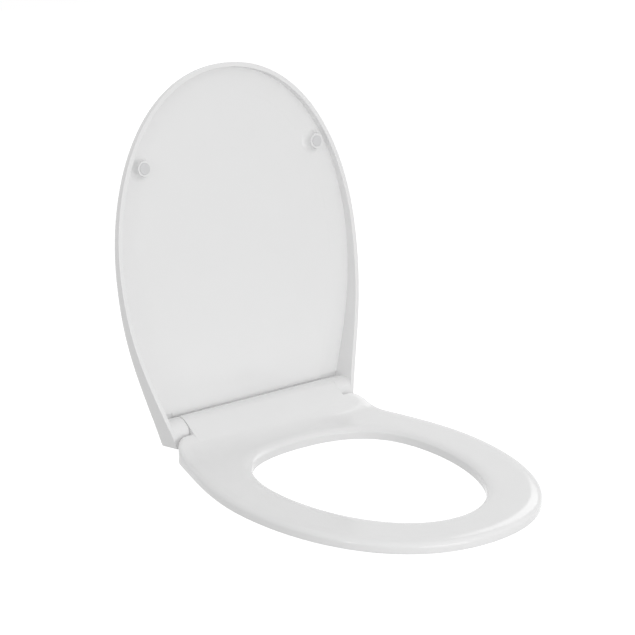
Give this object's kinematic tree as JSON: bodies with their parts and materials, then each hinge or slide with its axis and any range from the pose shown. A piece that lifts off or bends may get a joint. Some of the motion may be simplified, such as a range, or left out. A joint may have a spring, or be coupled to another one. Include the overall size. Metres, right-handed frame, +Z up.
{
  "type": "toilet seat",
  "caption": "Oval toilet seat with a dished lid: ring and lid both turn on one rear hinge line, with soft buffers, and hinge posts that bolt down to the pan.",
  "frame": {"origin": "on the top of the pan, midway between the fixing holes", "axes": "+X to the right seen from the front, +Y to the wall behind, +Z up out of the pan"},
  "size_m": [0.3612, 0.5155, 0.4695],
  "materials": {
    "moulded_white": "gloss white moulded urea resin",
    "buffer_grey": "soft matt light grey elastomer",
    "foot_white": "soft matt white elastomer",
    "post_white": "fine matt moulded polyamide",
    "steel": "brushed stainless steel",
    "gasket_grey": "matt dark grey rubber",
    "brass": "turned brass",
    "damper_grey": "matt moulded acetal",
    "bush_natural": "matt natural acetal"
  },
  "bodies": {
    "base": {"base_gasket_left": "gasket_grey", "base_gasket_right": "gasket_grey", "base_plate_left": "steel", "base_plate_right": "steel", "damper_cap_left": "damper_grey", "damper_cap_right": "damper_grey", "damper_housing_left": "damper_grey", "damper_housing_right": "damper_grey", "hinge_post_left": "post_white", "hinge_post_right": "post_white", "thread_insert_left": "brass", "thread_insert_right": "brass"},
    "seat": {"hinge_shaft_left": "steel", "hub_bush_left": "bush_natural", "hub_bush_right": "bush_natural", "seat_foot_back_left": "foot_white", "seat_foot_back_right": "foot_white", "seat_foot_front_left": "foot_white", "seat_foot_front_right": "foot_white", "seat_ring": "moulded_white"},
    "lid": {"hinge_shaft_right": "steel", "knuckle_bush_left": "bush_natural", "lid": "moulded_white", "lid_buffer_left": "buffer_grey", "lid_buffer_right": "buffer_grey"}
  },
  "joints": [
    {"name": "seat_hinge", "type": "hinge", "parent": "base", "child": "seat", "pos_m": [0, 0, 0.03], "axis": [-1, 0, 0], "range_deg": [0, 97]},
    {"name": "lid_hinge", "type": "hinge", "parent": "base", "child": "lid", "pos_m": [0, 0, 0.03], "axis": [-1, 0, 0], "range_deg": [-98.5, 0]}
  ]
}
